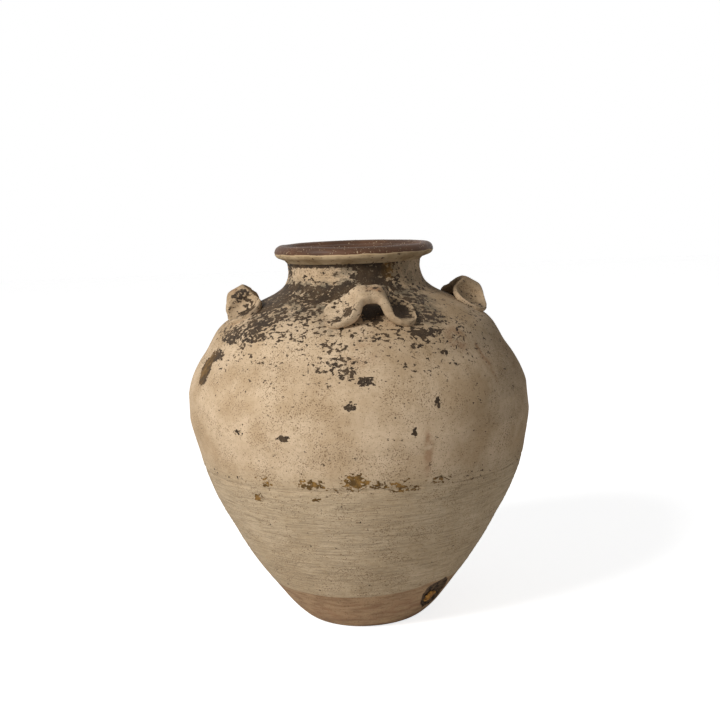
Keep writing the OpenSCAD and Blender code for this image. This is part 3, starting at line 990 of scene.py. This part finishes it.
def make_lug(name, number, turn, rise, worn):
    """A strap of clay arched over the eye, its ends spread and hollowed by a thumb."""
    along = np.linspace(-1, 1, LUG_ALONG)
    line = np.array([lug_line(t) for t in along])
    for axis in (0, 1):
        padded = np.pad(line[:, axis], LUG_EASING // 2, mode="edge")
        line[:, axis] = np.convolve(padded, np.ones(LUG_EASING) / LUG_EASING, "valid")
    slope = np.gradient(line, axis=0)
    slope /= np.linalg.norm(slope, axis=1)[:, None]
    points = []
    for t, middle, ahead in zip(along, line, slope):
        u = abs(t)
        half = read(LUG_HALF_WIDTH, u)
        upper, hollow, lip = read(LUG_UPPER, u), read(LUG_HOLLOW, u), read(LUG_LIP, u)
        under = read(LUG_UNDER, u) + ridge(t - THICK_PAD_AT, height=3.0, width=0.2)
        up_slope = UP_SLOPE + (ARCH_UP if u < ARCH_SHARE else PAD_UP) * (1 - u)
        for k in range(LUG_ROUND):
            a = 2 * math.pi * k / LUG_ROUND
            c, s = math.cos(a), math.sin(a)
            v = math.copysign(abs(c) ** ACROSS_POWER, c)
            if s >= 0:
                edge = lip * abs(v) ** LIP_POWER * LIP_SHARE - hollow * (1 - v * v)
                thick = upper * s**THICK_POWER + edge * s**HOLLOW_POWER
            else:
                thick = -under * abs(s) ** THICK_POWER
            points.append([middle[0] - ahead[1] * thick, v * half + up_slope, middle[1] + ahead[0] * thick])
    local = with_middles(np.array(points), LUG_ROUND)
    local[:, 2] *= np.where(local[:, 2] > 0, rise, 1.0)
    local[:, 2] -= np.maximum(np.abs(local[:, 0]) - BEND_FROM, 0) ** 2 / (2 * BEND_R)
    shift = number * LUG_SHIFT
    local[:, 2] += wobble(local + shift, depth=0.5, width=11) + wobble(local + shift, depth=0.25, width=5)
    local[:, 1] += wobble(local + shift + SIDE_SHIFT, depth=0.7, width=14)
    tilt = Matrix.Rotation(math.radians(LUG_TILT), 3, "X")
    about = Matrix.Rotation(math.radians(LUG_AZIMUTH + turn), 3, "Z")
    world = local @ np.array(tilt).T + [0, -radius(LUG_HEIGHT), LUG_HEIGHT]
    world = world @ np.array(about).T
    world[:, 0] += smooth(LEAN, np.array([LUG_HEIGHT]))[0]
    # These faces point into the clay. To turn them out, each has its corners in the reverse order.
    obj = mesh_object(name, world, tube_faces(LUG_ALONG, LUG_ROUND))
    paint_lug(obj.data, local, worn)
    return obj


def paint_lug(mesh, local, worn):
    """Paints a lug in its own frame: worn places, bare glaze as painted shade under the arch, a rusty
    crown.
    """
    x, y, z = local.T
    wear_and_shade = np.full(len(local), LUG_BASE_WEAR)
    for at_x, at_y, half_w, half_h, value in LUG_WEAR:
        d = np.hypot((x - at_x) / half_w, (y - at_y) / half_h)
        w = np.clip(PATCH_REACH - d, 0, 1)
        wear_and_shade = np.where(value * worn > wear_and_shade, wear_and_shade + (value * worn - wear_and_shade) * w, wear_and_shade)
    # Painted shade: the arch's underside is laid in dark bare glaze, partly wear and partly the shadow in
    # the eye
    under = falls(z, EYE_TOP, over=2) * (np.abs(x) < EYE_HALF_WIDTH)
    at_x, at_y, half_w, half_h, rust = LUG_RUST
    none = np.zeros(len(local))
    set_layers(mesh, {
        "wear_and_shade": np.maximum(wear_and_shade, under),
        "smoke": none + LUG_SMOKE,
        "amber": none,
        "rust": ridge(np.hypot((x - at_x) / half_w, (y - at_y) / half_h), height=rust, width=1.0),
        "foot": none + LUG_BELOW_EDGE,
        "chip": none + FAR_FROM_CHIP,
    })


class JAR_OT_lugs(bpy.types.Operator):
    """Make the four strap lugs"""
    bl_idname = "jar.lugs"
    bl_label = "Lugs"

    def execute(self, context):
        for number, (side, turn, rise, worn) in enumerate(LUGS, 1):
            piece = make_lug(f"lug_{side}_strap", number, turn, rise, worn)
            finish_piece(piece, f"lug_{side}", material_for("slip_over_dark_glaze"))
        return {"FINISHED"}


FILLER_RINGS = 28
FILLER_ROUND = 56
# Where the filler sits in the chip, as azimuth and height, and its half width and height in mm
FILLER_AT = (50.0, 29.0)
FILLER_HALF = (7.5, 6.5)
# Depths in mm behind the drawn outline: of the filler's bed, how far its dome comes out of it, and
# between which the lump is kept
FILLER_BED = 4.6
FILLER_DOME = 3.6
FILLER_DEPTHS = (0.4, 5.2)
# Its outline has three lobes and seven nicks, as shares of its size
FILLER_LOBES = 0.16
FILLER_PHASE = 0.7
FILLER_NICKS = 0.09


class JAR_OT_filler(bpy.types.Operator):
    """Make the lump of ochre filler in the chip"""
    bl_idname = "jar.filler"
    bl_label = "Filler"

    def execute(self, context):
        points = []
        for front in (True, False):
            for i in range(FILLER_RINGS):
                share = (i + 0.5) / FILLER_RINGS
                rho = share if front else 1 - share
                depth = FILLER_BED - (FILLER_DOME * math.sqrt(1 - rho * rho) if front else 0)
                for k in range(FILLER_ROUND):
                    a = 2 * math.pi * k / FILLER_ROUND
                    lobed = 1 + FILLER_LOBES * math.sin(3 * a + FILLER_PHASE)
                    reach = rho * (lobed + FILLER_NICKS * math.sin(7 * a))
                    up = FILLER_AT[1] + reach * math.sin(a) * FILLER_HALF[1]
                    points.append([reach * math.cos(a) * FILLER_HALF[0], up, depth])
        p = np.array(points)
        lumpy = wobble(p, depth=0.8, width=4) + wobble(p, depth=0.4, width=2)
        across, z, depth = p.T
        depth = depth + lumpy * (np.arange(len(p)) < FILLER_RINGS * FILLER_ROUND)
        r = smooth(OUTLINE, z)
        a = math.radians(FILLER_AT[0]) + across / r
        rr = r - np.clip(depth, *FILLER_DEPTHS)
        world = np.stack([rr * np.sin(a) + smooth(LEAN, z), -rr * np.cos(a), z], axis=1)
        faces = tube_faces(2 * FILLER_RINGS, FILLER_ROUND)
        piece = mesh_object("chip_filler_lump", with_middles(world, FILLER_ROUND), faces)
        finish_piece(piece, "chip_filler", material_for("ochre_earth_filler"))
        return {"FINISHED"}


class JAR_OT_inside(bpy.types.Operator):
    """Give the coils inside the jar their clay"""
    bl_idname = "jar.inside"
    bl_label = "Inside coils"

    def execute(self, context):
        for node in ("base_coil", "belly_coil", "shoulder_coil"):
            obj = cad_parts[node]
            obj.data.materials.clear()
            obj.data.materials.append(material_for("unglazed_inner_clay"))
        return {"FINISHED"}


GRAIN_SEED = 5
# The smallest grain, as a share of the largest
SMALLEST_GRAIN = 0.35
# Grains stand on the rim over this height and outside this radius, in metres
CREST_Z = 0.3885
CREST_R = 0.0725
# Grit lies in the chip between these azimuths, heights in metres, and depths in mm
GRIT_SIDES = (36, 61)
GRIT_HEIGHTS = (0.017, 0.05)
GRIT_DEPTHS = (2.2, 7)
# Outside this radius in metres, which keeps the inner skin out
GRIT_R = 0.06


def grain_tree():
    """Scatters small mineral grains over a surface: density, size and seed as named inputs."""
    tree = bpy.data.node_groups.new("Mineral grains", "GeometryNodeTree")
    for name, kind in (("Geometry", "Geometry"), ("Density", "Float"), ("Size", "Float"), ("Seed", "Int"),
                       ("Material", "Material")):
        tree.interface.new_socket(name, in_out="INPUT", socket_type="NodeSocket" + kind)
    tree.interface.new_socket("Geometry", in_out="OUTPUT", socket_type="NodeSocketGeometry")
    given = add(tree, "NodeGroupInput", out=None).outputs
    points = add(tree, "GeometryNodeDistributePointsOnFaces", out=None, Mesh=given["Geometry"],
                 Density=given["Density"], Seed=given["Seed"]).outputs
    grain = add(tree, "GeometryNodeMeshIcoSphere", Radius=given["Size"], Subdivisions=1)
    vary = add(tree, "FunctionNodeRandomValue", {"data_type": "FLOAT"}, 1, i2=SMALLEST_GRAIN, i3=1.0,
               Seed=given["Seed"])
    copies = add(tree, "GeometryNodeInstanceOnPoints", Points=points["Points"], Instance=grain,
                 Rotation=points["Rotation"], Scale=vary)
    real = add(tree, "GeometryNodeRealizeInstances", Geometry=copies)
    dressed = add(tree, "GeometryNodeSetMaterial", Geometry=real, Material=given["Material"])
    add(tree, "NodeGroupOutput", out=None, Geometry=dressed)
    return tree


class JAR_OT_grains(bpy.types.Operator):
    """Scatter mineral grains in the glaze of the rim and in the chip"""
    bl_idname = "jar.grains"
    bl_label = "Mineral grains"

    def execute(self, context):
        s = settings()
        tree = grain_tree()
        sources = [("rim_roll_thrown", "rim_grains", s.grains, "brown_rim_glaze", "pale_mineral_grain",
                    self.on_crest),
                   ("lower_wall_thrown", "chip_grains", s.grains * 2, "slipped_stoneware", "dark_chip_grit",
                    self.in_chip)]
        for host, name, count, slot_name, material_name, kept in sources:
            mesh = bpy.data.objects[host].data
            patch = [p for p in mesh.polygons if kept(p.center)]
            if not patch:
                raise RuntimeError(f"no place for grains on {host}")
            used = sorted({v for p in patch for v in p.vertices})
            index = {v: i for i, v in enumerate(used)}
            skin = bpy.data.meshes.new(name + "_skin")
            skin.from_pydata([mesh.vertices[v].co[:] for v in used], [],
                             [[index[v] for v in p.vertices] for p in patch])
            obj = link_new(name + "_skin", skin)
            modifier = obj.modifiers.new("grains", "NODES")
            modifier.node_group = tree
            values = {"Density": count / sum(p.area for p in patch), "Size": s.grain_size / 2,
                      "Seed": GRAIN_SEED, "Material": material_for(material_name)}
            for item in tree.interface.items_tree:
                if item.in_out == "INPUT" and item.name in values:
                    modifier[item.identifier] = values[item.name]
            graph = bpy.context.evaluated_depsgraph_get()
            grains = bpy.data.meshes.new_from_object(obj.evaluated_get(graph))
            obj.modifiers.clear()
            bpy.data.objects.remove(obj)
            if not grains.vertices:
                raise RuntimeError(f"no grains on {host}")
            piece = link_new(name, grains)
            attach(piece, "root")
        return {"FINISHED"}

    def on_crest(self, c):
        """Whether a face's middle is on the crest or the outside of the rim."""
        return c.z > CREST_Z and c.x**2 + c.y**2 > CREST_R**2

    def in_chip(self, c):
        """Whether a face's middle is on the broken floor of the chip."""
        r = math.hypot(c.x, c.y)
        az = math.degrees(math.atan2(c.x, -c.y))
        in_sides = GRIT_SIDES[0] < az < GRIT_SIDES[1]
        in_heights = GRIT_HEIGHTS[0] < c.z < GRIT_HEIGHTS[1]
        if not (in_sides and in_heights and r >= GRIT_R):
            return False
        return GRIT_DEPTHS[0] < radius(c.z / MM) - r / MM < GRIT_DEPTHS[1]


FLOOR_HALF = 6.0
FLOOR_GREY = (0.9, 0.9, 0.9, 1)
FLOOR_ROUGHNESS = 0.95
FLOOR_GLOW = 0.8
# Light that the white surroundings throw on the jar, where 1 is what the camera sees of them
WORLD_LIGHT = 0.13
# The two soft lamps: name, place and diameter in metres, watts
LAMPS = (("key", (-1.62, -1.6, 1.75), 1.0, 66.0), ("fill", (1.6, -1.9, 0.8), 2.0, 1.2))
LAMPS_AIM = (0, 0, 0.22)
# The camera as fitted to the photograph: place in metres, angles in degrees, lens in mm
CAMERA_PLACE = (0, -1.2547, 0.45)
CAMERA_PITCH = 7.98
CAMERA_YAW = 0.10
CAMERA_ROLL = -2.147
CAMERA_LENS = 59.14
CAMERA_SENSOR = 36.0


class JAR_OT_stage(bpy.types.Operator):
    """Make the floor, the lights and the camera"""
    bl_idname = "jar.stage"
    bl_label = "Stage"

    def execute(self, context):
        scene = bpy.context.scene
        scene.view_settings.view_transform = "Standard"
        self.floor()
        for lamp in LAMPS:
            self.lamp(*lamp)
        self.world(scene)
        self.camera(scene)
        return {"FINISHED"}

    def world(self, scene):
        """White surroundings to the camera and in reflections, which light the jar only a little."""
        world = bpy.data.worlds.new("studio")
        scene.world = world
        world.use_nodes = True
        tree = world.node_tree
        tree.nodes.clear()
        ray = add(tree, LIGHT_PATH, out=None).outputs
        seen = add(tree, MATH, LARGER, i0=ray["Is Camera Ray"], i1=ray["Is Glossy Ray"])
        strength = add(tree, RANGE, SMOOTH, Value=seen, From_Min=0.0, From_Max=1.0, To_Min=WORLD_LIGHT,
                       To_Max=1.0)
        glow = add(tree, "ShaderNodeBackground", Color=WHITE, Strength=strength)
        add(tree, "ShaderNodeOutputWorld", out=None, Surface=glow)

    def floor(self):
        """A matt pale floor, which keeps the jar's shadow and shows nearly white to the camera."""
        half = FLOOR_HALF
        mesh = bpy.data.meshes.new("floor")
        mesh.from_pydata([(-half, -half, 0), (half, -half, 0), (half, half, 0), (-half, half, 0)], [],
                         [(0, 1, 2, 3)])
        floor = link_new("floor", mesh)
        material, tree, _ = new_material("pale_floor")
        matt = add(tree, PRINCIPLED, Base_Color=FLOOR_GREY, Roughness=FLOOR_ROUGHNESS)
        glow = add(tree, "ShaderNodeEmission", Color=WHITE, Strength=FLOOR_GLOW)
        both = add(tree, "ShaderNodeAddShader", i0=matt, i1=glow)
        seen = add(tree, LIGHT_PATH, out="Is Camera Ray")
        choose = add(tree, "ShaderNodeMixShader", i0=seen, i1=matt, i2=both)
        add(tree, OUTPUT, out=None, Surface=choose)
        mesh.materials.append(material)

    def lamp(self, name, place, size, watts):
        light = bpy.data.lights.new(name, "AREA")
        light.shape = "DISK"
        light.size = size
        light.energy = watts
        lamp = link_new(name, light)
        lamp.location = place
        aim = Vector(LAMPS_AIM) - Vector(place)
        lamp.rotation_euler = aim.to_track_quat("-Z", "Y").to_euler()

    def camera(self, scene):
        """A camera where the photograph was taken from, with its slight roll."""
        pitch, yaw, roll = math.radians(CAMERA_PITCH), math.radians(CAMERA_YAW), math.radians(CAMERA_ROLL)
        turn = Matrix.Rotation(-yaw, 3, "Z")
        look = turn @ Vector((0, math.cos(pitch), -math.sin(pitch)))
        level_up = turn @ Vector((0, math.sin(pitch), math.cos(pitch)))
        level_right = turn @ Vector((1, 0, 0))
        right = math.cos(roll) * level_right + math.sin(roll) * level_up
        up = -math.sin(roll) * level_right + math.cos(roll) * level_up
        data = bpy.data.cameras.new("camera")
        data.lens = CAMERA_LENS
        data.sensor_width = CAMERA_SENSOR
        camera = link_new("camera", data)
        facing = Matrix((right, up, -look)).transposed()
        camera.matrix_world = Matrix.Translation(CAMERA_PLACE) @ facing.to_4x4()
        scene.camera = camera


STEPS = (JAR_OT_walls, JAR_OT_rim, JAR_OT_lugs, JAR_OT_filler, JAR_OT_inside, JAR_OT_grains, JAR_OT_stage)


class JAR_PT_panel(bpy.types.Panel):
    """Lists the jar's settings and its steps"""
    bl_label = "Jar"
    bl_idname = "JAR_PT_panel"
    bl_space_type = "VIEW_3D"
    bl_region_type = "UI"
    bl_category = "Jar"

    def draw(self, context):
        s = settings()
        for name in ("ring_segments", "row_pitch", "cream", "glaze", "foot", "rim", "grains", "grain_size"):
            self.layout.prop(s, name)
        for step in STEPS:
            self.layout.operator(step.bl_idname)


CLASSES = (JarSettings,) + STEPS + (JAR_PT_panel,)


def register():
    for cls in CLASSES:
        bpy.utils.register_class(cls)
    bpy.types.Scene.jar_settings = bpy.props.PointerProperty(type=JarSettings)


def unregister():
    del bpy.types.Scene.jar_settings
    for cls in reversed(CLASSES):
        bpy.utils.unregister_class(cls)


def main():
    register()
    bpy.ops.jar.walls()
    bpy.ops.jar.rim()
    bpy.ops.jar.lugs()
    bpy.ops.jar.filler()
    bpy.ops.jar.inside()
    bpy.ops.jar.grains()
    bpy.ops.jar.stage()


if __name__ == "__main__":
    main()
